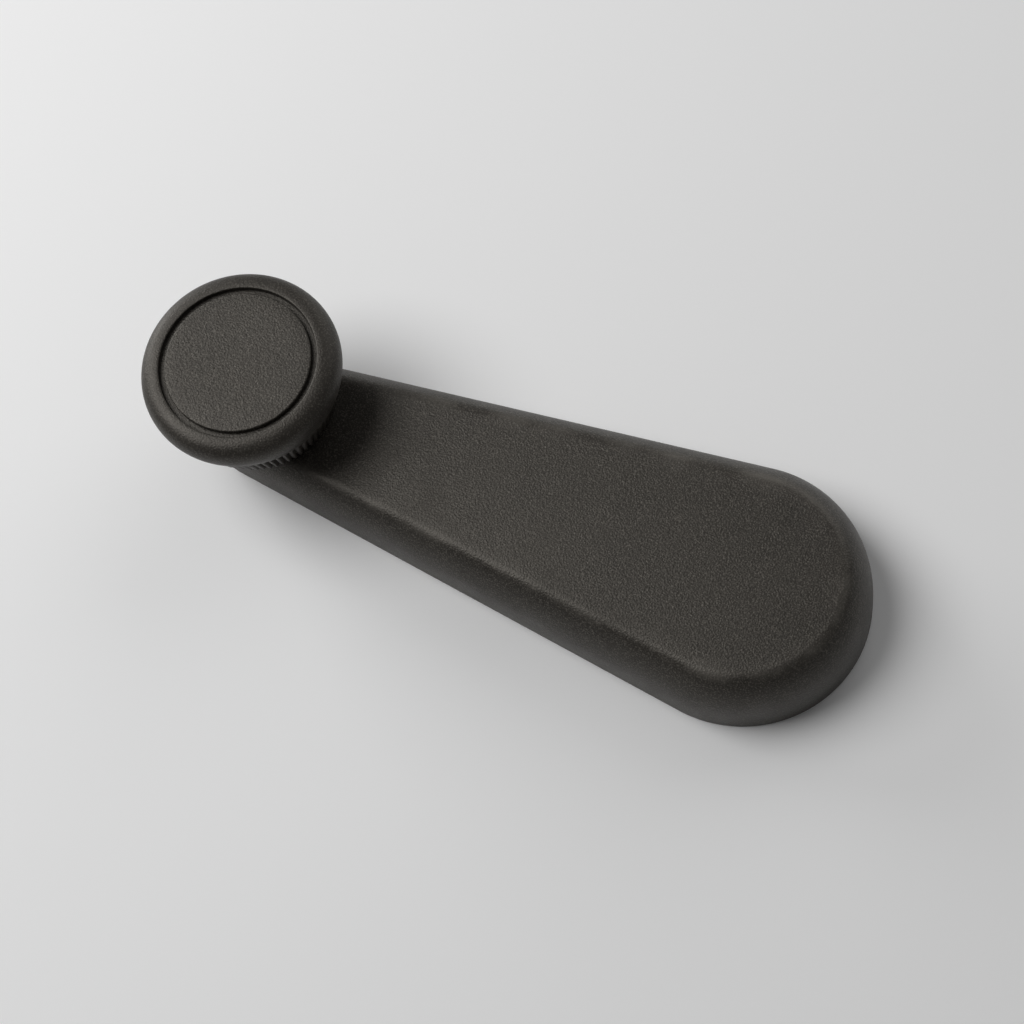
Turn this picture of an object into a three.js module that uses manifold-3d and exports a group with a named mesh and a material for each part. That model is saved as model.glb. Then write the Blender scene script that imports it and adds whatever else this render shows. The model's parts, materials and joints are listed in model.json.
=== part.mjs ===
// A window-winder crank handle: a tapered hollow arm, a splined hub at its wide end that fits the winder's
// drive shaft, and a ribbed knob that turns on a spindle at its narrow end.
//
// Millimetres, +Z up. The origin is the drive shaft's axis in the plane of the hub's rim, +X runs along the
// arm to the knob, and +Z points away from the door, so the handle lies on its rim on the plane z = 0.

import * as THREE from "three";
import { mergeVertices } from "three/addons/utils/BufferGeometryUtils.js";
import Module from "manifold-3d";

const wasm = await Module();
wasm.setup();

// ---------------------------------------------------------------- driving dimensions

const ARM_LENGTH = 100; // drive shaft axis to knob axis

// The arm's two ends: the radius of the rim, how far the crest of the side wall lies inside it, the height.
const HUB = { radius: 24.2, crestInset: 4.8, height: 16.45 };
const TIP = { radius: 12.25, crestInset: 3.95, height: 11.9 };
const ARM_WALL = 2.4;
const ARM_ROOF = 2.3;
const CREST_ROUND = 1.2; // reach of the rounding from the crest on to the top face
const CREST_START = 0.94; // share of the height where that rounding begins
const GAP = 0.3; // between pieces that lie against a sloping or curved neighbour
const FIT = 0.05; // between turned pieces that bear on each other

const PAD = { radius: 10.5, top: 12.4 }; // the knob's flat landing on the sloping top face

const WEB = { bottom: 5, top: 6.5 }; // the carrier's plate
const CARRIER_FOOT = 0.8;
const CARRIER_RIM = 1.6;
const RIB = { thickness: 1.2, bottom: 1.4 };
const WELL = { inner: 17.4, bottom: 2 }; // the ring of the carrier round the clip's well
const TOWER = { radius: 10.6, top: 12.8 };

const SCREW_POSTS = [
  [-14, 0],
  [31, 11.5],
  [31, -11.5],
  [64, 0],
];
const POST_RADIUS = 2.9;
const SCREW = { headRadius: 2.9, headHeight: 1.9, shankRadius: 1.4, tip: 11.2 };
const PILOT_RADIUS = 1.5;
const CLEARANCE_RADIUS = 1.8;

const SPLINE = { teeth: 24, root: 5.6, crest: 5 };
const SLEEVE = { boss: 8.4, bottom: 1, flange: 10, flangeBottom: 4, hex: 8.6, top: 12.9 };
const CLIP_SLOT = { inner: 3.7, bottom: 2.1, top: 3.6 };
const CLIP = { bottom: 2.4, thickness: 0.9, inner: 4.2, width: 2, bow: 7, heel: -8, toe: -11, flare: 1.8 };
const CLIP_TRAVEL = 8; // towards the knob, which frees the drive shaft

const GLIDE = { inner: 17.6, outer: 19.6, top: 1.9, pegs: 4, pegRadius: 0.7, pegTop: 4 };

const THREAD = 3; // radius of the spindle's threaded tail
const JOURNAL = 3.5; // radius of the spindle that the knob turns on
const RUNNING = 0.05; // radial clearance of the bushes on the journal
const NUT = { bottom: 1.3, height: 2.7, acrossCorners: 5.77 };

const RIBS = 72; // round the knob's skirt
const RIB_DEPTH = 0.6;
const SKIRT = { bottom: 12.95, bottomRadius: 15.1, top: 21.9, topRadius: 17.5 };
const SHOULDER = { radius: 19.2, z: 26.95, turn: 25.3, top: 30.6, crown: 15.45 };
const RECESS = { radius: 15.1, floor: 29.5, edge: 0.35 };
const CAP = { radius: 14.05, top: 30.55, edge: 0.55, spigotBore: 5.6 };

// Heights of the stack on the spindle, from the landing up.
const FLANGE = { bottom: PAD.top + FIT, top: 13.6, radius: 7 };
const THRUST = { bottom: FLANGE.top + FIT, top: 14.2 };
const WAVE = { bottom: THRUST.top + FIT, top: 15.1 };
const LOWER_BUSH = { bottom: WAVE.top + FIT, shoulder: 15.95, top: 19.4 };
const UPPER_BUSH = { bottom: 19.8, shoulder: 23.35, top: 24.05 };
const TOP_WASHER = { bottom: UPPER_BUSH.top + FIT, top: 24.7 };
const CIRCLIP = { bottom: TOP_WASHER.top + FIT, top: 25.45, groove: 2.8 };
const SPINDLE_TOP = 26.3;
const TUBE = { bore: 5.05, bottom: LOWER_BUSH.shoulder + FIT, radius: 7.4 };
const KNOB_WELL = { radius: 7.6, floor: UPPER_BUSH.shoulder - FIT, wall: 9.6 };
const KNOB_PLATE = 26.9; // underside of the plate below the cap
const HOLLOW = { mouth: 12.9, skirt: 14.7, shoulder: 16.7, plate: 15.4 }; // radii, from the skirt's foot up
const BUSH_COLLAR = 6.9;
const BITE = 0.6; // how far two joined bodies of the knob run into each other

// Sides of a turned piece: a small one, one the size of the knob, and a hole or post of a few millimetres.
const ROUND = 24;
const WIDE = 48;
const SMALL = 12;

// ---------------------------------------------------------------- materials

const finish = (color, roughness, metalness) =>
  new THREE.MeshStandardMaterial({ color, roughness, metalness });

const grainedPlastic = finish(0x393633, 0.62, 0);
const smoothPlastic = finish(0x33312f, 0.5, 0);
const carrierNylon = finish(0x1f1f20, 0.55, 0);
const acetal = finish(0xd9d4c6, 0.4, 0);
const zincAlloy = finish(0x9a9c9e, 0.42, 0.9);
const platedSteel = finish(0xb9b7b0, 0.35, 0.95);
const springSteel = finish(0x4c4e52, 0.38, 0.9);

// ---------------------------------------------------------------- solids

// A closed geometry as a solid, its faces turned outwards.
function solid(geometry) {
  const bare = geometry.index ? geometry.toNonIndexed() : geometry.clone();
  bare.deleteAttribute("normal");
  bare.deleteAttribute("uv");
  const merged = mergeVertices(bare, 1e-4);
  const faces = [];
  for (let i = 0; i < merged.index.count; i += 3) {
    const [a, b, c] = [0, 1, 2].map((k) => merged.index.getX(i + k));
    if (a !== b && b !== c && c !== a) faces.push([a, b, c]);
  }
  const make = (list) =>
    new wasm.Manifold(
      new wasm.Mesh({
        numProp: 3,
        vertProperties: new Float32Array(merged.attributes.position.array),
        triVerts: new Uint32Array(list.flat()),
      }),
    );
  const first = make(faces);
  return first.volume() > 0 ? first : make(faces.map(([a, b, c]) => [a, c, b]));
}

// A solid as a geometry with flat faces.
function geometryOf(body) {
  const { vertProperties, triVerts, numProp } = body.getMesh();
  const position = new Float32Array(triVerts.length * 3);
  triVerts.forEach((vertex, i) => {
    position.set(vertProperties.subarray(vertex * numProp, vertex * numProp + 3), i * 3);
  });
  const geometry = new THREE.BufferGeometry();
  geometry.setAttribute("position", new THREE.BufferAttribute(position, 3));
  geometry.computeVertexNormals();
  return geometry;
}

const join = (bodies) => bodies.reduce((sum, body) => sum.add(body));
const cut = (body, tools) => tools.reduce((rest, tool) => rest.subtract(tool), body);

// An upright cylinder, cone or prism from z0 to z1 about (x, y).
function upright(radius, z0, z1, { x = 0, y = 0, topRadius = radius, sides = ROUND } = {}) {
  const geometry = new THREE.CylinderGeometry(topRadius, radius, z1 - z0, sides);
  geometry.rotateX(Math.PI / 2);
  geometry.translate(x, y, (z0 + z1) / 2);
  return solid(geometry);
}

// A body of revolution about the Z axis from a profile of [radius, z] points.
function revolve(profile, sides = ROUND) {
  const points = profile.map(([radius, z]) => new THREE.Vector2(radius, z));
  if (profile[0][0] > 0) points.push(points[0].clone());
  const geometry = new THREE.LatheGeometry(points, sides);
  geometry.rotateX(Math.PI / 2);
  return solid(geometry);
}

// A flat washer or sleeve.
const tube = (inner, outer, z0, z1, sides = ROUND) =>
  revolve([[inner, z0], [outer, z0], [outer, z1], [inner, z1]], sides);

function box(x0, x1, y0, y1, z0, z1) {
  const geometry = new THREE.BoxGeometry(x1 - x0, y1 - y0, z1 - z0);
  geometry.translate((x0 + x1) / 2, (y0 + y1) / 2, (z0 + z1) / 2);
  return solid(geometry);
}

// Small upright holes from the rim's plane to `top`, one at each [x, y].
const holesAt = (places, radius, top) =>
  places.map(([x, y]) => upright(radius, 0, top, { x, y, sides: SMALL }));

// A flat shape of [x, y] points, raised from z0 to z1.
function prism(points, z0, z1) {
  const shape = new THREE.Shape(points.map(([x, y]) => new THREE.Vector2(x, y)));
  const geometry = new THREE.ExtrudeGeometry(shape, { depth: z1 - z0, bevelEnabled: false });
  geometry.translate(0, 0, z0);
  return solid(geometry);
}

// Rings of [x, y, z] points, the same number in each, joined into a skin with a fan over each end.
function loft(rings) {
  const count = rings[0].length;
  const mean = (ring) => [0, 1, 2].map((k) => ring.reduce((sum, p) => sum + p[k], 0) / count);
  const triangles = [];
  for (let i = 0; i < count; i += 1) {
    const j = (i + 1) % count;
    for (let level = 0; level + 1 < rings.length; level += 1) {
      const [low, high] = [rings[level], rings[level + 1]];
      triangles.push(low[i], low[j], high[j], low[i], high[j], high[i]);
    }
    triangles.push(mean(rings[0]), rings[0][j], rings[0][i]);
    triangles.push(mean(rings.at(-1)), rings.at(-1)[i], rings.at(-1)[j]);
  }
  const geometry = new THREE.BufferGeometry();
  geometry.setAttribute("position", new THREE.Float32BufferAttribute(triangles.flat(), 3));
  return solid(geometry);
}

// ---------------------------------------------------------------- the arm's form

// Height of the sloping top face above the rim.
const topAt = (x) => HUB.height + ((TIP.height - HUB.height) * x) / ARM_LENGTH;

// The outline round two circles, one about each axis, joined by their common tangents.
function outline(hubRadius, tipRadius) {
  const [hubSteps, tipSteps] = [28, 14];
  const lean = Math.acos((hubRadius - tipRadius) / ARM_LENGTH);
  const points = [];
  for (let i = 0; i <= hubSteps; i += 1) {
    const angle = lean + ((2 * Math.PI - 2 * lean) * i) / hubSteps;
    points.push([hubRadius * Math.cos(angle), hubRadius * Math.sin(angle)]);
  }
  for (let i = 0; i <= tipSteps; i += 1) {
    const angle = -lean + (2 * lean * i) / tipSteps;
    points.push([ARM_LENGTH + tipRadius * Math.cos(angle), tipRadius * Math.sin(angle)]);
  }
  return points;
}

// One ring of the arm, given as [inset, z] at the hub and at the tip.
function armRing([hubInset, hubZ], [tipInset, tipZ]) {
  const slope = (tipZ - hubZ) / ARM_LENGTH;
  return outline(HUB.radius - hubInset, TIP.radius - tipInset).map(([x, y]) => [x, y, hubZ + slope * x]);
}

// How far a side wall, of an end that is `height` tall, has leaned in at a share of its height.
const leanIn = (end, share) => end.crestInset * share ** 4;

// The side wall's section at one end, as [inset, z] points from the rim to the top face.
function section(end) {
  const wallSteps = 5;
  const points = [];
  for (let i = 0; i <= wallSteps; i += 1) {
    const share = CREST_START * Math.sin(((i / wallSteps) * Math.PI) / 2);
    points.push([leanIn(end, share), share * end.height]);
  }
  const rounding = new THREE.QuadraticBezierCurve(
    new THREE.Vector2(...points.at(-1)),
    new THREE.Vector2(end.crestInset, end.height),
    new THREE.Vector2(end.crestInset + CREST_ROUND, end.height),
  );
  rounding.getPoints(3).slice(1).forEach((p) => points.push([p.x, p.y]));
  return points;
}

// The inset of the arm's inner wall at a height above the rim.
const innerInset = (end, z) => ARM_WALL + leanIn(end, Math.max(z, 0) / (end.height - ARM_ROOF));

// The hollow under the arm, less a margin all round, up to z or to the roof.
function hollow(margin, bottom, top) {
  const levels = 4;
  const rings = [];
  for (let i = 0; i <= levels; i += 1) {
    const at = (end) => {
      const z = bottom + (((top ?? end.height - ARM_ROOF) - bottom) * i) / levels;
      return [innerInset(end, z) + margin, z];
    };
    rings.push(armRing(at(HUB), at(TIP)));
  }
  return loft(rings);
}

// ---------------------------------------------------------------- pieces of the arm

function armShell() {
  const tipSection = section(TIP);
  const outside = loft(section(HUB).map((point, i) => armRing(point, tipSection[i])));
  const posts = SCREW_POSTS.map(([x, y]) =>
    upright(POST_RADIUS, WEB.top + FIT, topAt(x) - 1, { x, y, sides: 16 }));
  const spindlePost = upright(6.5, WEB.top + FIT, TIP.height - 1, { x: ARM_LENGTH });
  const pad = upright(PAD.radius, PAD.top - 3, PAD.top, { x: ARM_LENGTH, sides: WIDE });
  const hole = upright(THREAD + FIT, 0, PAD.top + 1, { x: ARM_LENGTH });
  const pilots = holesAt(SCREW_POSTS, PILOT_RADIUS, SCREW.tip + GAP);
  return cut(join([cut(outside, [hollow(0, -1)]), ...posts, spindlePost, pad]), [hole, ...pilots]);
}

// The zigzag of stiffening ribs between the well and the nut.
function zigzag() {
  const stations = [26, 42, 56, 69, 80, 89];
  const bars = [];
  for (let i = 0; i + 1 < stations.length; i += 1) {
    const side = i % 2 ? 1 : -1;
    const start = new THREE.Vector2(stations[i], side * HUB.radius);
    const end = new THREE.Vector2(stations[i + 1], -side * HUB.radius);
    const along = end.clone().sub(start);
    const geometry = new THREE.BoxGeometry(along.length(), RIB.thickness, WEB.top - 0.5 - RIB.bottom);
    geometry.rotateZ(along.angle());
    geometry.translate((start.x + end.x) / 2, 0, (WEB.top - 0.5 + RIB.bottom) / 2);
    bars.push(solid(geometry));
  }
  const [first, last] = [stations[0] - 2, stations.at(-1) - 0.6];
  [first, last].forEach((x) => {
    bars.push(box(x, x + RIB.thickness, -HUB.radius, HUB.radius, RIB.bottom, WEB.top - 0.5));
  });
  return join(bars);
}

function armCarrier() {
  const block = hollow(GAP, CARRIER_FOOT, WEB.top);
  const room = hollow(GAP + CARRIER_RIM, -1, WEB.bottom);
  const wellRing = tube(WELL.inner, HUB.radius, WELL.bottom, WEB.bottom + 0.5, WIDE);
  const inside = (body) => body.intersect(hollow(GAP + 0.5, CARRIER_FOOT, WEB.top - 0.2));
  const tower = upright(TOWER.radius, WEB.bottom, TOWER.top);
  const socket = upright(SLEEVE.hex + GAP / 2, 0, TOWER.top + 1, { sides: 6 });
  const clipReach = CLIP.bow + CLIP.inner + CLIP.width + CLIP_TRAVEL + GAP;
  const clipPath = box(SLEEVE.flange, clipReach, -7.2, 7.2, -1, CLIP_SLOT.top + 0.6);
  const screwHoles = holesAt(SCREW_POSTS, CLEARANCE_RADIUS, WEB.top + 1);
  const headRoom = holesAt(SCREW_POSTS, SCREW.headRadius + 0.5, WEB.bottom);
  const spindleHole = upright(THREAD + FIT, 0, WEB.top + 1, { x: ARM_LENGTH });
  const pegHoles = holesAt(pegPlaces(), GLIDE.pegRadius + FIT, GLIDE.pegTop + 0.1);
  const plate = join([cut(block, [room]), inside(wellRing), inside(zigzag()), tower]);
  return cut(plate, [socket, clipPath, ...screwHoles, ...headRoom, spindleHole, ...pegHoles]);
}

function pegPlaces() {
  const radius = (GLIDE.inner + GLIDE.outer) / 2;
  return Array.from({ length: GLIDE.pegs }, (_, i) => {
    const angle = ((2 * i + 1) * Math.PI) / GLIDE.pegs;
    return [radius * Math.cos(angle), radius * Math.sin(angle)];
  });
}

// The low-friction ring that slides on the door's trim plate.
function glideRing() {
  const ring = revolve([
    [GLIDE.inner, 0.3],
    [GLIDE.inner + 0.3, 0],
    [GLIDE.outer - 0.3, 0],
    [GLIDE.outer, 0.3],
    [GLIDE.outer, GLIDE.top],
    [GLIDE.inner, GLIDE.top],
  ], WIDE);
  const pegs = pegPlaces().map(([x, y]) =>
    upright(GLIDE.pegRadius, GLIDE.top - 0.5, GLIDE.pegTop, { x, y, sides: SMALL }));
  return join([ring, ...pegs]);
}

function splineSleeve() {
  const teeth = [];
  for (let i = 0; i < SPLINE.teeth * 2; i += 1) {
    const radius = i % 2 ? SPLINE.root : SPLINE.crest;
    const angle = (i * Math.PI) / SPLINE.teeth;
    teeth.push([radius * Math.cos(angle), radius * Math.sin(angle)]);
  }
  const body = join([
    upright(SLEEVE.boss, SLEEVE.bottom, SLEEVE.flangeBottom + 0.5),
    upright(SLEEVE.flange, SLEEVE.flangeBottom, WEB.bottom - FIT),
    upright(SLEEVE.hex, WEB.bottom - 0.5, SLEEVE.top, { sides: 6 }),
  ]);
  const mouth = upright(SPLINE.root + 1, SLEEVE.bottom - 0.2, SLEEVE.bottom + 0.8, {
    topRadius: SPLINE.root - 0.4,
  });
  const slots = [1, -1].map((side) => {
    const [near, far] = [side * CLIP_SLOT.inner, side * SLEEVE.flange];
    return box(-9, 9, Math.min(near, far), Math.max(near, far), CLIP_SLOT.bottom, CLIP_SLOT.top);
  });
  return cut(body, [prism(teeth, 0, SLEEVE.top + 1), mouth, ...slots]);
}

// The horseshoe spring whose legs lie in the sleeve's slots and hold the drive shaft by its groove.
function retainingClip() {
  const { inner, width, bow, heel, toe, flare } = CLIP;
  const outer = inner + width;
  const shape = new THREE.Shape();
  shape.moveTo(heel, inner);
  shape.lineTo(bow, inner);
  shape.absarc(bow, 0, inner, Math.PI / 2, -Math.PI / 2, true);
  shape.lineTo(heel, -inner);
  shape.lineTo(toe, -inner - flare);
  shape.lineTo(toe, -outer - flare);
  shape.lineTo(heel, -outer);
  shape.lineTo(bow, -outer);
  shape.absarc(bow, 0, outer, -Math.PI / 2, Math.PI / 2, false);
  shape.lineTo(heel, outer);
  shape.lineTo(toe, outer + flare);
  shape.lineTo(toe, inner + flare);
  const geometry = new THREE.ExtrudeGeometry(shape, {
    depth: CLIP.thickness,
    bevelEnabled: false,
    curveSegments: 14,
  });
  geometry.translate(0, 0, CLIP.bottom);
  return solid(geometry);
}

// A self-tapping screw that points up, with a cross recess in its pan head.
function coverScrew() {
  const { headRadius, headHeight, shankRadius, tip } = SCREW;
  const seat = WEB.bottom - FIT;
  const under = seat - headHeight;
  const body = revolve([
    [0, under],
    [headRadius - 0.9, under],
    [headRadius - 0.2, under + 0.6],
    [headRadius, seat - 0.5],
    [headRadius, seat],
    [shankRadius, seat],
    [shankRadius, tip - 1.2],
    [0.3, tip],
    [0, tip],
  ], 16);
  const recess = [
    box(-1.6, 1.6, -0.35, 0.35, under - 0.1, under + 1.1),
    box(-0.35, 0.35, -1.6, 1.6, under - 0.1, under + 1.1),
  ];
  return cut(body, recess);
}

// ---------------------------------------------------------------- pieces on the knob's axis (x = 0 here)

function knobSpindle() {
  return revolve([
    [0, 0.5],
    [THREAD - 0.5, 0.5],
    [THREAD, 1],
    [THREAD, FLANGE.bottom],
    [FLANGE.radius, FLANGE.bottom],
    [FLANGE.radius, FLANGE.top],
    [JOURNAL, FLANGE.top],
    [JOURNAL, CIRCLIP.bottom - FIT],
    [CIRCLIP.groove, CIRCLIP.bottom - FIT],
    [CIRCLIP.groove, CIRCLIP.top + FIT],
    [JOURNAL, CIRCLIP.top + FIT],
    [JOURNAL, SPINDLE_TOP - 0.6],
    [JOURNAL - 0.6, SPINDLE_TOP],
    [0, SPINDLE_TOP],
  ]);
}

function spindleNut() {
  const { bottom, height, acrossCorners } = NUT;
  const top = bottom + height;
  const hexagon = upright(acrossCorners, bottom, top, { sides: 6 });
  const chamfered = revolve([
    [0, bottom],
    [acrossCorners - 0.8, bottom],
    [acrossCorners, bottom + 0.5],
    [acrossCorners, top],
    [0, top],
  ]);
  return cut(hexagon.intersect(chamfered), [upright(THREAD + FIT, bottom - 1, top + 1)]);
}

// A split spring washer.
function lockWasher() {
  const ring = tube(THREAD + 0.2, 5.3, NUT.bottom + NUT.height + FIT, WEB.bottom - FIT);
  return cut(ring, [box(0, 8, -0.35, 0.35, 0, WEB.bottom)]);
}

// A ring of spring steel with three waves.
function waveWasher() {
  const [inner, outer, thickness, waves, steps] = [3.8, 6.6, 0.3, 3, 36];
  const middle = (WAVE.bottom + WAVE.top) / 2;
  const reach = (WAVE.top - WAVE.bottom - thickness) / 2;
  const rings = [];
  for (let i = 0; i < steps; i += 1) {
    const angle = (2 * Math.PI * i) / steps;
    const z = middle + reach * Math.cos(waves * angle);
    const corners = [[inner, -1], [outer, -1], [outer, 1], [inner, 1]];
    rings.push(corners.map(([radius, side]) => [
      radius * Math.cos(angle),
      radius * Math.sin(angle),
      z + (side * thickness) / 2,
    ]));
  }
  const triangles = [];
  for (let i = 0; i < steps; i += 1) {
    const [here, next] = [rings[i], rings[(i + 1) % steps]];
    for (let k = 0; k < 4; k += 1) {
      const m = (k + 1) % 4;
      triangles.push(here[k], here[m], next[m], here[k], next[m], next[k]);
    }
  }
  const geometry = new THREE.BufferGeometry();
  geometry.setAttribute("position", new THREE.Float32BufferAttribute(triangles.flat(), 3));
  return solid(geometry);
}

// An external retaining ring: a collar that thins towards its two eyes.
function circlip() {
  const [mouth, lug, eye] = [0.42, 1.25, 0.45];
  const ring = cut(upright(5.1, CIRCLIP.bottom, CIRCLIP.top, { x: -0.35 }), [
    upright(CIRCLIP.groove + FIT, CIRCLIP.bottom - 1, CIRCLIP.top + 1),
    box(0, 8, -1.1, 1.1, CIRCLIP.bottom - 1, CIRCLIP.top + 1),
  ]);
  const at = [1, -1].map((side) => ({ x: 4.35, y: side * (mouth + lug), sides: SMALL }));
  const lugs = at.map((place) => upright(lug, CIRCLIP.bottom, CIRCLIP.top, place));
  const eyes = at.map((place) => upright(eye, CIRCLIP.bottom - 1, CIRCLIP.top + 1, place));
  return cut(join([ring, ...lugs]), eyes);
}

// A flanged bush; its collar lies below or above its sleeve.
function lowerBush() {
  const bore = JOURNAL + RUNNING;
  return revolve([
    [bore, LOWER_BUSH.bottom],
    [BUSH_COLLAR, LOWER_BUSH.bottom],
    [BUSH_COLLAR, LOWER_BUSH.shoulder],
    [TUBE.bore - FIT, LOWER_BUSH.shoulder],
    [TUBE.bore - FIT, LOWER_BUSH.top],
    [bore, LOWER_BUSH.top],
  ]);
}

function upperBush() {
  const bore = JOURNAL + RUNNING;
  return revolve([
    [bore, UPPER_BUSH.bottom],
    [TUBE.bore - FIT, UPPER_BUSH.bottom],
    [TUBE.bore - FIT, UPPER_BUSH.shoulder],
    [BUSH_COLLAR, UPPER_BUSH.shoulder],
    [BUSH_COLLAR, UPPER_BUSH.top],
    [bore, UPPER_BUSH.top],
  ]);
}

// Points along a quarter of an ellipse about (r, z), from its waist to a given turn.
function quarter(r, z, reachR, reachZ, turn, steps) {
  return Array.from({ length: steps + 1 }, (_, i) => {
    const angle = (turn * i) / steps;
    return [r + reachR * Math.cos(angle), z + reachZ * Math.sin(angle)];
  });
}

// The skirt as a fluted cone: ridges on its surface and V-shaped grooves between them.
function ribbedSkirt() {
  const flutes = (surface, z) => Array.from({ length: RIBS * 2 }, (_, i) => {
    const angle = (Math.PI * i) / RIBS;
    const radius = i % 2 ? surface - RIB_DEPTH : surface;
    return [radius * Math.cos(angle), radius * Math.sin(angle), z];
  });
  return loft([flutes(SKIRT.bottomRadius, SKIRT.bottom), flutes(SKIRT.topRadius, SKIRT.top)]);
}

// Points down the shoulder's lower side, on a curve from its waist to the top of the ribs.
function underSide(steps) {
  const bend = new THREE.QuadraticBezierCurve(
    new THREE.Vector2(SHOULDER.radius, SHOULDER.z),
    new THREE.Vector2(SHOULDER.radius, SHOULDER.turn),
    new THREE.Vector2(SKIRT.topRadius, SKIRT.top),
  );
  return bend.getPoints(steps).map((point) => [point.x, point.y]);
}

// The rounded shoulder above the ribs, solid to the axis.
function shoulder() {
  const { radius, z, top, crown } = SHOULDER;
  const over = quarter(crown, z, radius - crown, top - z, Math.PI / 2, 6);
  return revolve([
    [0, SKIRT.top - BITE],
    [SKIRT.topRadius - RIB_DEPTH - BITE / 2, SKIRT.top - BITE],
    ...underSide(5).reverse(),
    ...over.slice(1),
    [RECESS.radius, top - RECESS.edge],
    [RECESS.radius, RECESS.floor],
    [0, RECESS.floor],
  ], WIDE);
}

// The room inside the knob: the bore with its well above, and the hollow between the skirt and the tube.
function knobRoom() {
  const bore = revolve([
    [0, 0],
    [TUBE.bore, 0],
    [TUBE.bore, KNOB_WELL.floor],
    [KNOB_WELL.radius, KNOB_WELL.floor],
    [KNOB_WELL.radius, SHOULDER.top],
    [0, SHOULDER.top],
  ], 36);
  const under = revolve([
    [0, SKIRT.bottom - 1],
    [HOLLOW.mouth, SKIRT.bottom - 1],
    [HOLLOW.mouth, SKIRT.bottom],
    [HOLLOW.skirt, SKIRT.top - 1.5],
    [HOLLOW.shoulder, KNOB_PLATE - 1.4],
    [HOLLOW.plate, KNOB_PLATE],
    [KNOB_WELL.wall, KNOB_PLATE],
    [KNOB_WELL.wall, KNOB_WELL.floor],
    [TUBE.radius, KNOB_WELL.floor - 1.6],
    [TUBE.radius, TUBE.bottom],
    [0, TUBE.bottom],
  ], 36);
  return [bore, under];
}

const knobBody = () => cut(join([ribbedSkirt(), shoulder()]), knobRoom());

// The inset disc that hides the spindle's end, with a spigot that presses into the knob's well.
function knobCap() {
  const { radius, top, edge } = CAP;
  const rounding = quarter(radius - edge, top - edge, edge, edge, Math.PI / 2, 2);
  return revolve([
    [0, RECESS.floor + FIT],
    [CAP.spigotBore, RECESS.floor + FIT],
    [CAP.spigotBore, SPINDLE_TOP],
    [KNOB_WELL.radius - FIT, SPINDLE_TOP],
    [KNOB_WELL.radius - FIT, RECESS.floor + FIT],
    [radius, RECESS.floor + FIT],
    ...rounding,
    [0, top],
  ], WIDE);
}

// ---------------------------------------------------------------- assembly

function place(parent, name, body, material) {
  const mesh = new THREE.Mesh(geometryOf(body), material);
  mesh.name = name;
  parent.add(mesh);
  return mesh;
}

const handle = new THREE.Group();

const arm = new THREE.Group();
handle.add(arm);
place(arm, "arm_shell", armShell(), grainedPlastic);
place(arm, "arm_carrier", armCarrier(), carrierNylon);
place(arm, "spline_sleeve", splineSleeve(), zincAlloy);
place(arm, "hub_glide_ring", glideRing(), acetal);
SCREW_POSTS.forEach(([x, y], i) => {
  place(arm, `cover_screw_${i + 1}`, coverScrew(), platedSteel).position.set(x, y, 0);
});
place(arm, "retaining_clip", retainingClip(), springSteel);

// Everything on the knob's axis.
const knobAxis = new THREE.Group();
knobAxis.position.x = ARM_LENGTH;
handle.add(knobAxis);
place(knobAxis, "knob_spindle", knobSpindle(), platedSteel);
place(knobAxis, "spindle_nut", spindleNut(), platedSteel);
place(knobAxis, "lock_washer", lockWasher(), springSteel);
place(knobAxis, "thrust_washer", tube(JOURNAL + 0.2, FLANGE.radius, THRUST.bottom, THRUST.top), acetal);
place(knobAxis, "wave_washer", waveWasher(), springSteel);
place(knobAxis, "lower_bush", lowerBush(), acetal);
place(knobAxis, "upper_bush", upperBush(), acetal);
place(knobAxis, "top_washer", tube(JOURNAL + 0.2, 6.6, TOP_WASHER.bottom, TOP_WASHER.top), platedSteel);
place(knobAxis, "circlip", circlip(), springSteel);
place(knobAxis, "knob_body", knobBody(), smoothPlastic);
place(knobAxis, "knob_cap", knobCap(), grainedPlastic);

export default handle;
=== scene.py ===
"""A window-winder crank handle on a pale floor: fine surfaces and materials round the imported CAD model.

Sizes below are in millimetres and are multiplied by MM, because Blender and the frame work in metres.
"""

import json
import math

import bmesh
import bpy
from mathutils import Matrix, Vector


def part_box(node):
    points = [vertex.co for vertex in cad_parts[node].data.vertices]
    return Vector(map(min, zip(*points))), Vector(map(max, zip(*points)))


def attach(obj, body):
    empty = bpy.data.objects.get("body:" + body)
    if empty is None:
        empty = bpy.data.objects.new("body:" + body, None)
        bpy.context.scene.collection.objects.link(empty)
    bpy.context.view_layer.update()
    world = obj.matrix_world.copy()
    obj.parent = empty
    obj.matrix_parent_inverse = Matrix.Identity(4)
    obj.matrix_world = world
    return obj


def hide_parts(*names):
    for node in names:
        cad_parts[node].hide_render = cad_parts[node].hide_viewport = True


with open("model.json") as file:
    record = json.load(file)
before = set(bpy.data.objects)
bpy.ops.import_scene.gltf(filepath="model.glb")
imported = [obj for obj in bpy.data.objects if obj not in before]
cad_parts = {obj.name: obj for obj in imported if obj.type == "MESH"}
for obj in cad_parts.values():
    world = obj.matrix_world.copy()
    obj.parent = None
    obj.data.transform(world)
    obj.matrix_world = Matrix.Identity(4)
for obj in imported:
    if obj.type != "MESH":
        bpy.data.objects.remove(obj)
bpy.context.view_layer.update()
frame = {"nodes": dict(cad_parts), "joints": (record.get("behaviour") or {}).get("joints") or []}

MM = 0.001

# ---------------------------------------------------------------- sizes

shell_low, shell_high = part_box("arm_shell")
knob_low, knob_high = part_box("knob_body")
cap_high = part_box("knob_cap")[1]
knob_joint = next(joint for joint in frame["joints"] if joint["name"] == "knob_spin")

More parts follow.
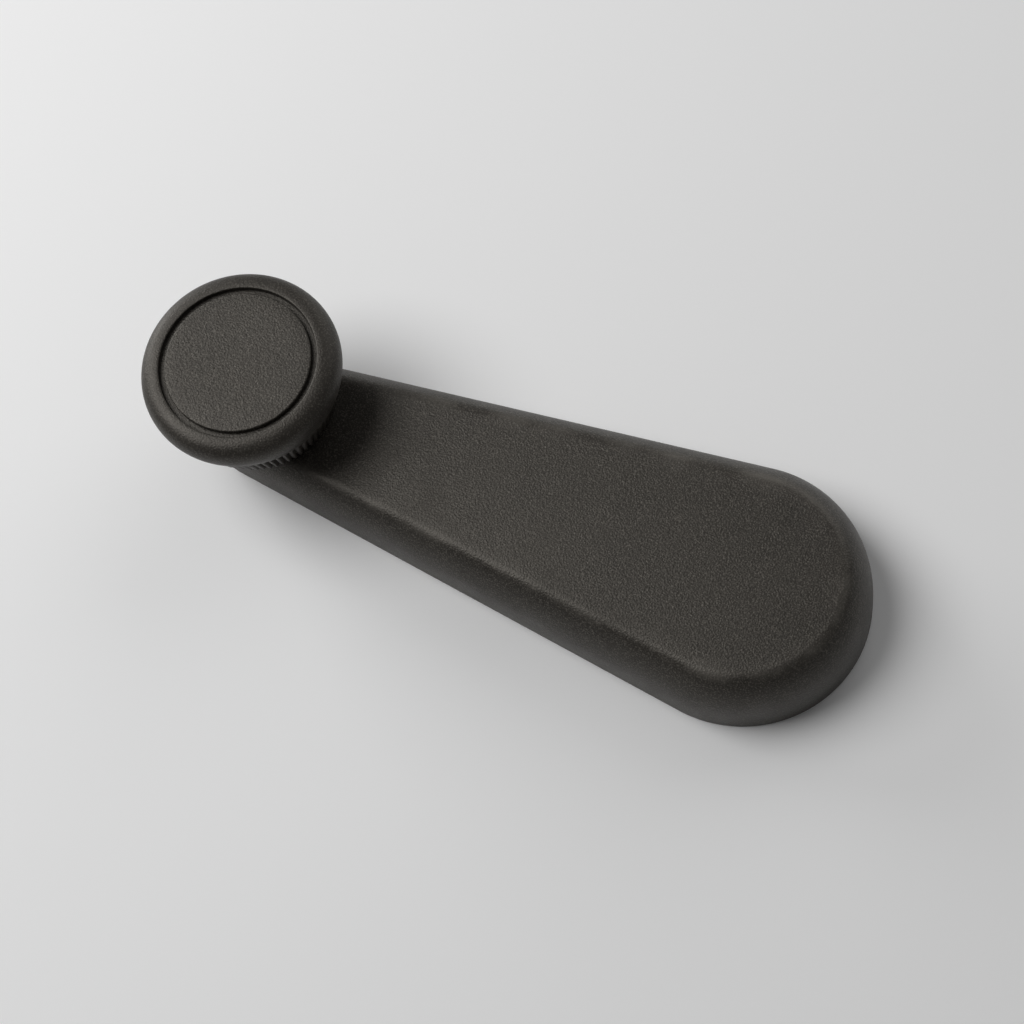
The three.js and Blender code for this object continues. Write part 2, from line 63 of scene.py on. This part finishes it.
ARM_LENGTH = knob_joint["pos_m"][0] / MM
HUB_RADIUS = -shell_low.x / MM
TIP_RADIUS = shell_high.x / MM - ARM_LENGTH
HUB_HEIGHT = 16.45
TIP_HEIGHT = 11.9
HUB_CREST_INSET = 4.8
TIP_CREST_INSET = 3.95
CREST_ROUND = 1.2
CREST_START = 0.94
CREST_STEPS = 8
WALL_STEPS = 20
TOP_STEPS = 14
ARM_WALL = 2.4
ARM_ROOF = 2.3
RIM_ROUND = 0.35
TOP_CROWN = 0.12

PAD_RADIUS = 10.5
PAD_TOP = 12.4

RIBS = 72
RIB_DEPTH = 0.6
RIB_FADE = (0.3, 0.7, 0.9, 1.0)  # share of that depth at each ring of the skirt's foot
SKIRT_BOTTOM = knob_low.z / MM
SKIRT_BOTTOM_RADIUS = 15.1
SKIRT_TOP = 21.9
SKIRT_TOP_RADIUS = 17.5
SHOULDER_RADIUS = (knob_high.x - knob_low.x) / 2 / MM
SHOULDER_Z = 26.95
SHOULDER_TURN = 25.3
SHOULDER_TOP = knob_high.z / MM
SHOULDER_CROWN = 15.45
SHOULDER_FULLNESS = 2.2
RECESS_RADIUS = 15.1
RECESS_FLOOR = 29.5
CAP_RADIUS = 14.05
CAP_TOP = cap_high.z / MM
SPIGOT_BORE = 5.6
SPINDLE_TOP = 26.3
WELL_RADIUS = 7.6
WELL_FLOOR = 23.3
WELL_WALL = 9.6
TUBE_BORE = 5.05
TUBE_RADIUS = 7.4
TUBE_BOTTOM = 16.0
KNOB_PLATE = 26.9
HOLLOW_MOUTH = 12.9
HOLLOW_SKIRT = 14.7
HOLLOW_SHOULDER = 16.7
HOLLOW_PLATE = 15.4
CHAMFER = 0.2
FIT = 0.05
AXIS = 0.01  # the radius at which a profile stops short of its axis

# The camera: its place in millimetres, its direction in degrees, and roughly which way is up in its picture.
CAMERA_PLACE = (-57.5, 108.3, 393.9)
CAMERA_AZIMUTH = -45.84
CAMERA_ELEVATION = -68.99
CAMERA_UP = (0.346, -0.877, 0.334)
CAMERA_LENS = 76.75
SOFTBOX_DISTANCE = 0.8  # metres

# ---------------------------------------------------------------- camera, lights and floor


def add_camera():
    """The camera looks steeply down from above the hub, with the knob at the far upper left."""
    azimuth, elevation = math.radians(CAMERA_AZIMUTH), math.radians(CAMERA_ELEVATION)
    look = Vector(
        (
            math.cos(elevation) * math.cos(azimuth),
            math.cos(elevation) * math.sin(azimuth),
            math.sin(elevation),
        )
    )
    right = look.cross(Vector(CAMERA_UP)).normalized()
    up = right.cross(look)
    data = bpy.data.cameras.new("camera")
    data.lens = CAMERA_LENS
    data.sensor_width = 36
    data.clip_start = 0.01
    camera = bpy.data.objects.new("camera", data)
    turn = Matrix((right, up, -look)).transposed().to_4x4()
    camera.matrix_world = Matrix.Translation(Vector(CAMERA_PLACE) * MM) @ turn
    bpy.context.scene.collection.objects.link(camera)
    bpy.context.scene.camera = camera


def add_softbox(name, azimuth, elevation, size, power):
    """A round softbox (size in metres, power in watts) in a direction in degrees, facing the handle."""
    middle = Vector((ARM_LENGTH / 2, 0, HUB_HEIGHT)) * MM
    turn, lift = math.radians(azimuth), math.radians(elevation)
    towards = Vector((math.cos(lift) * math.cos(turn), math.cos(lift) * math.sin(turn), math.sin(lift)))
    data = bpy.data.lights.new(name, "AREA")
    data.shape = "DISK"
    data.size = size
    data.energy = power
    light = bpy.data.objects.new(name, data)
    light.location = middle + towards * SOFTBOX_DISTANCE
    light.rotation_euler = towards.to_track_quat("Z", "Y").to_euler()
    light.visible_camera = False
    bpy.context.scene.collection.objects.link(light)


def add_world(strength):
    world = bpy.data.worlds.new("studio")
    world.use_nodes = True
    background = world.node_tree.nodes["Background"]
    background.inputs["Color"].default_value = (1, 1, 1, 1)
    background.inputs["Strength"].default_value = strength
    bpy.context.scene.world = world


def add_floor():
    """A plain sheet of pale paper."""
    bpy.ops.mesh.primitive_plane_add(size=6, location=(0, 0, -0.02 * MM))
    floor = bpy.context.object
    floor.name = "floor"
    material = bpy.data.materials.new("floor_paper")
    material.use_nodes = True
    shader = material.node_tree.nodes["Principled BSDF"]
    shader.inputs["Base Color"].default_value = (0.92, 0.92, 0.92, 1)
    shader.inputs["Roughness"].default_value = 0.9
    floor.data.materials.append(material)


# ---------------------------------------------------------------- materials


class Nodes:
    """A short way to add and link shader nodes in one material."""

    def __init__(self, name):
        self.material = bpy.data.materials.new(name)
        self.material.use_nodes = True
        self.tree = self.material.node_tree
        self.shader = self.tree.nodes["Principled BSDF"]
        self.place = self.add("ShaderNodeTexCoord").outputs["Object"]

    def add(self, kind, **values):
        node = self.tree.nodes.new(kind)
        for key, value in values.items():
            setattr(node, key, value)
        return node

    def feed(self, source, target):
        self.tree.links.new(source, target)

    def noise(self, scale, detail=2.0, stretch=None):
        """Noise whose features are about 1/scale metres wide, stretched by a vector if one is given."""
        node = self.add("ShaderNodeTexNoise")
        node.inputs["Scale"].default_value = scale
        node.inputs["Detail"].default_value = detail
        place = self.place
        if stretch:
            mapping = self.add("ShaderNodeMapping")
            mapping.inputs["Scale"].default_value = stretch
            self.feed(place, mapping.inputs["Vector"])
            place = mapping.outputs["Vector"]
        self.feed(place, node.inputs["Vector"])
        return node.outputs["Fac"]

    def cells(self, scale):
        """Distance to the nearest of scattered points about 1/scale metres apart."""
        node = self.add("ShaderNodeTexVoronoi")
        node.inputs["Scale"].default_value = scale
        self.feed(self.place, node.inputs["Vector"])
        return node.outputs["Distance"]

    def spread(self, source, low, high, start=0.3, end=0.7):
        """Stretches a 0 to 1 pattern between start and end to the range from low to high."""
        node = self.add("ShaderNodeMapRange")
        node.inputs["From Min"].default_value = start
        node.inputs["From Max"].default_value = end
        node.inputs["To Min"].default_value = low
        node.inputs["To Max"].default_value = high
        self.feed(source, node.inputs["Value"])
        return node.outputs["Result"]

    def math(self, operation, first, second):
        node = self.add("ShaderNodeMath", operation=operation)
        for socket, value in zip(node.inputs, (first, second)):
            if isinstance(value, (int, float)):
                socket.default_value = value
            else:
                self.feed(value, socket)
        return node.outputs["Value"]

    def blend(self, factor, first, second):
        """Mixes two colours, or a colour socket and a colour, by a factor socket."""
        node = self.add("ShaderNodeMix", data_type="RGBA")
        self.feed(factor, node.inputs["Factor"])
        for socket, value in zip((node.inputs[6], node.inputs[7]), (first, second)):
            if isinstance(value, tuple):
                socket.default_value = (*value, 1)
            else:
                self.feed(value, socket)
        return node.outputs[2]

    def bump(self, height, depth):
        """A bump of the given depth in metres."""
        node = self.add("ShaderNodeBump")
        node.inputs["Strength"].default_value = 1
        node.inputs["Distance"].default_value = depth
        self.feed(height, node.inputs["Height"])
        return node.outputs["Normal"]

    def colour(self, source):
        self.feed(source, self.shader.inputs["Base Color"])

    def roughness(self, source):
        self.feed(source, self.shader.inputs["Roughness"])

    def normal(self, source):
        self.feed(source, self.shader.inputs["Normal"])

    def metallic(self, value):
        self.shader.inputs["Metallic"].default_value = value


def grained_plastic(name, grain, depth, rough, pale):
    """Charcoal moulded plastic with a spark-eroded grain and pale specks, partly grain tone and partly
    painted glints; where the mesh marks the crest it is polished a little and lightened, partly polish from
    handling and partly a painted highlight.
    """
    n = Nodes(name)
    mottle = n.spread(n.noise(60, 3), 0, 1)
    # Pale specks: partly the grain's own tone, partly painted glints on the grain's tips.
    specks_and_glints = n.spread(n.noise(grain * 1.25, 1), 0, 1, 0.5, 0.72)
    # Mask along the arm's crest: partly polish from handling, partly a painted highlight, broken up by
    # noise.
    wear_and_sheen_mask = n.add("ShaderNodeAttribute", attribute_name="wear_and_sheen").outputs["Fac"]
    wear_and_sheen = n.math("MULTIPLY", wear_and_sheen_mask, n.spread(n.noise(90, 3), 0, 1, 0.42, 0.66))
    colour = n.blend(mottle, (0.013, 0.0115, 0.0097), (0.018, 0.0157, 0.013))
    colour = n.blend(specks_and_glints, colour, pale)
    # Lightens the masked crest towards a pale colour: a painted highlight as well as polish.
    n.colour(n.blend(n.math("MULTIPLY", wear_and_sheen, 0.8), colour, (0.09, 0.083, 0.073)))
    patchy = n.spread(n.noise(180, 3), rough - 0.04, rough + 0.04)
    n.roughness(n.math("SUBTRACT", patchy, n.math("MULTIPLY", wear_and_sheen, 0.08)))
    sand = n.math("ADD", n.noise(grain, 0), n.math("MULTIPLY", n.cells(grain * 0.9), 0.4))
    n.normal(n.bump(sand, depth))
    n.shader.inputs["Specular Tint"].default_value = (1, 0.94, 0.85, 1)
    return n.material


def moulded_nylon(name):
    """Black glass-filled nylon with faint flow marks."""
    n = Nodes(name)
    flow = n.noise(120, 4, stretch=(0.25, 1, 1))
    n.colour(n.blend(n.spread(flow, 0, 1), (0.010, 0.010, 0.011), (0.024, 0.024, 0.025)))
    n.roughness(n.spread(n.noise(700, 3), 0.48, 0.68))
    n.normal(n.bump(n.noise(2400, 2), 0.02 * MM))
    return n.material


def acetal_resin(name):
    """Off-white acetal, smooth, with a little light scattered below its surface."""
    n = Nodes(name)
    n.colour(n.blend(n.spread(n.noise(150, 3), 0, 1), (0.62, 0.58, 0.49), (0.72, 0.69, 0.61)))
    n.roughness(n.spread(n.noise(500, 2), 0.32, 0.45))
    n.normal(n.bump(n.noise(1500, 2), 0.006 * MM))
    n.shader.inputs["Subsurface Weight"].default_value = 0.15
    n.shader.inputs["Subsurface Scale"].default_value = 0.6 * MM
    return n.material


def metal(name, dark, light, rough, grain, depth):
    """A metal with patches in its colour and roughness, and a fine relief."""
    n = Nodes(name)
    n.metallic(1)
    n.colour(n.blend(n.spread(n.noise(220, 4), 0, 1), dark, light))
    n.roughness(n.spread(n.noise(grain * 0.4, 3), rough - 0.08, rough + 0.1))
    n.normal(n.bump(n.noise(grain, 3), depth))
    return n.material


# ---------------------------------------------------------------- meshes


def finish_mesh(piece, sharp=35):
    """Points the faces outwards and shades smooth across edges flatter than `sharp` degrees."""
    mesh = bmesh.new()
    mesh.from_mesh(piece.data)
    bmesh.ops.recalc_face_normals(mesh, faces=mesh.faces)
    mesh.to_mesh(piece.data)
    mesh.free()
    for polygon in piece.data.polygons:
        polygon.use_smooth = True
    piece.data.set_sharp_from_angle(angle=math.radians(sharp))


def skin(name, rings, wear_and_sheen=None, closed=False):
    """Joins rings of points (mm), the same number in each, with four-sided faces.

    An open skin gets a face over each end; a closed one joins its last ring to its first.
    One optional value for each ring is kept on the mesh for the material: polish from handling on the crest,
    and with it a painted highlight there.
    """
    count = len(rings[0])
    points = [Vector(point) * MM for ring in rings for point in ring]
    faces = []
    spans = len(rings) if closed else len(rings) - 1
    for level in range(spans):
        here, above = level * count, (level + 1) % len(rings) * count
        for i in range(count):
            j = (i + 1) % count
            faces.append((here + i, here + j, above + j, above + i))
    if not closed:
        faces.append(tuple(range(count - 1, -1, -1)))
        faces.append(tuple(range((len(rings) - 1) * count, len(rings) * count)))
    data = bpy.data.meshes.new(name)
    data.from_pydata(points, [], faces)
    # Values for the material: polish from handling plus a painted highlight along the crest.
    wear_and_sheen_values = data.attributes.new("wear_and_sheen", "FLOAT", "POINT")
    wear_and_sheen_values.data.foreach_set("value", [w for w in (wear_and_sheen or [0] * len(rings)) for _ in range(count)])
    piece = bpy.data.objects.new(name, data)
    bpy.context.scene.collection.objects.link(piece)
    finish_mesh(piece)
    return piece


def turned(name, profile, x=0.0, steps=192, shape=None, closed=False):
    """A body of revolution about the upright axis at x, from a profile of (radius, z) points.

    A closed profile makes a ring; an open one starts and ends at the axis. `shape` may take
    (index, angle, radius) and give back another radius, for ribs.
    """
    rings = []
    for index, (radius, z) in enumerate(profile):
        ring = []
        for i in range(steps):
            angle = 2 * math.pi * i / steps
            reach = shape(index, angle, radius) if shape else radius
            ring.append((x + reach * math.cos(angle), reach * math.sin(angle), z))
        rings.append(ring)
    return skin(name, rings, closed=closed)


def arc(r, z, reach_r, reach_z, steps, fullness=2.0):
    """Points on a quarter of an ellipse about (r, z), from its waist to its top; 2 is a true ellipse."""
    points = []
    for i in range(steps + 1):
        angle = math.pi / 2 * i / steps
        across, up = math.cos(angle), math.sin(angle)
        points.append((r + reach_r * abs(across) ** (2 / fullness), z + reach_z * up ** (2 / fullness)))
    return points


def curve(start, control, end, steps):
    """Points along a quadratic Bezier curve."""
    points = []
    for i in range(steps + 1):
        t = i / steps
        a, b, c = (1 - t) ** 2, 2 * t * (1 - t), t * t
        points.append(tuple(a * s + b * m + c * e for s, m, e in zip(start, control, end)))
    return points


# ---------------------------------------------------------------- the arm


def outline(hub_radius, tip_radius):
    """The outline round two circles, one about each axis, joined by their common tangents."""
    hub_steps, run_steps, tip_steps = 120, 36, 60
    lean = math.acos((hub_radius - tip_radius) / ARM_LENGTH)
    points = []
    for i in range(hub_steps + 1):
        angle = lean + (2 * math.pi - 2 * lean) * i / hub_steps
        points.append((hub_radius * math.cos(angle), hub_radius * math.sin(angle)))
    tip = []
    for i in range(tip_steps + 1):
        angle = -lean + 2 * lean * i / tip_steps
        tip.append((ARM_LENGTH + tip_radius * math.cos(angle), tip_radius * math.sin(angle)))

    def run(start, end):
        share = [i / run_steps for i in range(1, run_steps)]
        return [tuple(s + (e - s) * t for s, e in zip(start, end)) for t in share]

    return points + run(points[-1], tip[0]) + tip + run(tip[-1], points[0])


def arm_ring(hub, tip):
    """One ring of the arm, given as (inset, z) at the hub and at the tip."""
    slope = (tip[1] - hub[1]) / ARM_LENGTH
    points = outline(HUB_RADIUS - hub[0], TIP_RADIUS - tip[0])
    return [(x, y, hub[1] + slope * x) for x, y in points]


def outer_section(inset, height):
    """The side wall at one end as (inset, z) points, from the rim to the edge of the top face."""
    rim = curve((RIM_ROUND, 0), (0, 0), (0, RIM_ROUND), 4)
    wall = []
    for i in range(1, WALL_STEPS + 1):
        share = CREST_START * math.sin(i / WALL_STEPS * math.pi / 2)
        wall.append((inset * share**4, max(share * height, 2 * RIM_ROUND)))
    crest = curve(wall[-1], (inset, height), (inset + CREST_ROUND, height), CREST_STEPS)
    return rim + wall + crest[1:]


def inner_section(inset, height):
    """The inner wall at one end as (inset, z) points, from the roof down to the rim."""
    top, steps = height - ARM_ROOF, 10
    wall = [(ARM_WALL + inset * (i / steps) ** 4, top * i / steps) for i in range(steps, 0, -1)]
    return wall + curve((ARM_WALL, 2 * RIM_ROUND), (ARM_WALL, 0), (ARM_WALL - RIM_ROUND, 0), 4)


def make_arm_shell():
    """The arm's moulding: roof, inner wall, rim, outer wall, crest and top face in one skin."""
    hub_in = inner_section(HUB_CREST_INSET, HUB_HEIGHT)
    tip_in = inner_section(TIP_CREST_INSET, TIP_HEIGHT)
    hub_out = outer_section(HUB_CREST_INSET, HUB_HEIGHT)
    tip_out = outer_section(TIP_CREST_INSET, TIP_HEIGHT)
    rings = [arm_ring(h, t) for h, t in zip(hub_in + hub_out, tip_in + tip_out)]
    # Painted highlight along the crest, partly polish from handling: strongest mid-crest, fading to both
    # sides, nothing on the walls and inside.
    wear_and_sheen = [0.0] * (len(rings) - CREST_STEPS - 1)
    wear_and_sheen += [1 - abs(i - CREST_STEPS / 2) / 6 for i in range(CREST_STEPS + 1)]
    hub_edge, tip_edge = HUB_RADIUS - hub_out[-1][0], TIP_RADIUS - tip_out[-1][0]
    for i in range(1, TOP_STEPS):
        share = 1 - i / TOP_STEPS
        hub = (HUB_RADIUS - hub_edge * share, HUB_HEIGHT + TOP_CROWN * (1 - share**2))
        tip = (TIP_RADIUS - tip_edge * share, TIP_HEIGHT + TOP_CROWN * (1 - share**2))
        rings.append(arm_ring(hub, tip))
        # A little of the painted crest highlight and polish reaches the first ring of the top face.
        wear_and_sheen.append(max(0.0, 0.35 - 0.2 * i))
    shell = skin("arm_shell_moulding", rings, wear_and_sheen)
    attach(shell, "arm")
    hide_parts("arm_shell")
    return shell


def make_landing():
    """The round landing on the top face under the knob, part of the same moulding."""
    edge = 0.4
    bottom = TIP_HEIGHT - ARM_ROOF
    profile = [(AXIS, bottom), (PAD_RADIUS, bottom)]
    profile += arc(PAD_RADIUS - edge, PAD_TOP - edge, edge, edge, 5) + [(AXIS, PAD_TOP)]
    landing = turned("arm_landing", profile, ARM_LENGTH, steps=128)
    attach(landing, "arm")
    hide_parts("arm_shell")
    return landing


# ---------------------------------------------------------------- the knob


def skirt_radius(z):
    share = (z - SKIRT_BOTTOM) / (SKIRT_TOP - SKIRT_BOTTOM)
    return SKIRT_BOTTOM_RADIUS + (SKIRT_TOP_RADIUS - SKIRT_BOTTOM_RADIUS) * share


def make_knob():
    """The knob's moulding: ribbed skirt, shoulder, recess, well, bore tube and the hollow between."""
    edge, skirt_steps = 0.3, 10
    skirt = []
    for i in range(skirt_steps + 1):
        z = SKIRT_BOTTOM + edge + (SKIRT_TOP - SKIRT_BOTTOM - 1.5 * edge) * i / skirt_steps
        skirt.append((skirt_radius(z), z))
    foot_start = (SKIRT_BOTTOM_RADIUS - 0.7, SKIRT_BOTTOM)
    foot = curve(foot_start, (SKIRT_BOTTOM_RADIUS, SKIRT_BOTTOM), skirt[0], 4)[:-1]
    turn = (SHOULDER_RADIUS, SHOULDER_TURN)
    under = curve((SKIRT_TOP_RADIUS, SKIRT_TOP), turn, (SHOULDER_RADIUS, SHOULDER_Z), 12)
    reach = SHOULDER_RADIUS - SHOULDER_CROWN
    over = arc(SHOULDER_CROWN, SHOULDER_Z, reach, SHOULDER_TOP - SHOULDER_Z, 20, fullness=SHOULDER_FULLNESS)
    rim = curve(over[-1], (RECESS_RADIUS, SHOULDER_TOP), (RECESS_RADIUS, SHOULDER_TOP - 0.2), 5)
    floor_corner = [(RECESS_RADIUS, RECESS_FLOOR + 0.1), (RECESS_RADIUS - 0.1, RECESS_FLOOR)]
    well = [
        (WELL_RADIUS + CHAMFER, RECESS_FLOOR),
        (WELL_RADIUS, RECESS_FLOOR - CHAMFER),
        (WELL_RADIUS, WELL_FLOOR),
        (TUBE_BORE, WELL_FLOOR),
    ]
    tube = [
        (TUBE_BORE, TUBE_BOTTOM + CHAMFER),
        (TUBE_BORE + CHAMFER, TUBE_BOTTOM),
        (TUBE_RADIUS - CHAMFER, TUBE_BOTTOM),
        (TUBE_RADIUS, TUBE_BOTTOM + CHAMFER),
        (TUBE_RADIUS, WELL_FLOOR - 1.6),
    ]
    hollow = [
        (WELL_WALL, WELL_FLOOR),
        (WELL_WALL, KNOB_PLATE - 2 * CHAMFER),
        (WELL_WALL + 2 * CHAMFER, KNOB_PLATE),
        (HOLLOW_PLATE, KNOB_PLATE),
        (HOLLOW_SHOULDER, KNOB_PLATE - 1.4),
        (HOLLOW_SKIRT, SKIRT_TOP - 1.5),
        (HOLLOW_MOUTH, SKIRT_BOTTOM + CHAMFER),
        (HOLLOW_MOUTH + CHAMFER, SKIRT_BOTTOM),
    ]
    profile = foot + skirt + under + over[1:] + rim[1:] + floor_corner
    profile += well + tube + hollow
    depth = [*RIB_FADE] + [1.0] * len(skirt) + [0.1]
    depth += [0.0] * (len(profile) - len(depth))

    def ribs(index, angle, radius):
        groove = 1 - abs(math.cos(RIBS * angle / 2))
        return radius - RIB_DEPTH * depth[index] * groove

    knob = turned("knob_grip", profile, ARM_LENGTH, steps=RIBS * 8, shape=ribs, closed=True)
    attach(knob, "knob")
    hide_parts("knob_body")
    return knob


def make_cap():
    """The inset disc in the knob's face, a shade dished, with a rounded edge and a spigot below."""
    edge = 0.3
    dish, dish_steps = 0.12, 6
    low = RECESS_FLOOR + FIT
    spigot = WELL_RADIUS - FIT
    profile = [(AXIS, low), (SPIGOT_BORE, low), (SPIGOT_BORE, SPINDLE_TOP)]
    profile += [(spigot, SPINDLE_TOP), (spigot, low), (CAP_RADIUS, low)]
    profile += arc(CAP_RADIUS - edge, CAP_TOP - edge, edge, edge, 8)
    for i in range(1, dish_steps + 1):
        share = 1 - i / dish_steps
        radius = AXIS + (CAP_RADIUS - edge - AXIS) * share
        profile.append((radius, CAP_TOP - dish * (1 - share)))
    cap = turned("knob_cap_disc", profile, ARM_LENGTH)
    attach(cap, "knob")
    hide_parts("knob_cap")
    return cap


# ---------------------------------------------------------------- assembly


def dress(node, material):
    """Gives a CAD node its material."""
    piece = frame["nodes"][node]
    piece.data.materials.clear()
    piece.data.materials.append(material)


def dress_cad_nodes():
    nylon = moulded_nylon("carrier_nylon")
    acetal = acetal_resin("acetal")
    zinc = metal("zinc_alloy", (0.32, 0.33, 0.34), (0.52, 0.53, 0.54), 0.42, 900, 0.01 * MM)
    plated = metal("plated_steel", (0.55, 0.53, 0.48), (0.72, 0.70, 0.64), 0.28, 1800, 0.004 * MM)
    spring = metal("spring_steel", (0.10, 0.11, 0.13), (0.22, 0.22, 0.23), 0.34, 1200, 0.005 * MM)
    dress("arm_carrier", nylon)
    dress("hub_glide_ring", acetal)
    dress("spline_sleeve", zinc)
    dress("retaining_clip", spring)
    for index in range(1, 5):
        dress(f"cover_screw_{index}", plated)
    for node in ("knob_spindle", "spindle_nut", "top_washer"):
        dress(node, plated)
    for node in ("lock_washer", "wave_washer", "circlip"):
        dress(node, spring)
    for node in ("thrust_washer", "lower_bush", "upper_bush"):
        dress(node, acetal)


def make_pieces():
    # The last colour is the pale speck colour: grain tone and painted glints.
    arm_plastic = grained_plastic("arm_plastic", 2900, 0.055 * MM, 0.47, (0.08, 0.073, 0.063))
    knob_plastic = grained_plastic("knob_plastic", 2900, 0.05 * MM, 0.47, (0.06, 0.054, 0.047))
    for piece in (make_arm_shell(), make_landing(), make_cap()):
        piece.data.materials.append(arm_plastic)
    make_knob().data.materials.append(knob_plastic)


add_camera()
add_world(0.12)
add_softbox("key", azimuth=10, elevation=55, size=0.6, power=3.8)
add_softbox("side", azimuth=345, elevation=15, size=0.5, power=2.5)
add_softbox("fill", azimuth=260, elevation=25, size=0.8, power=1.5)
add_floor()
dress_cad_nodes()
make_pieces()

bpy.context.scene.view_settings.view_transform = "Standard"
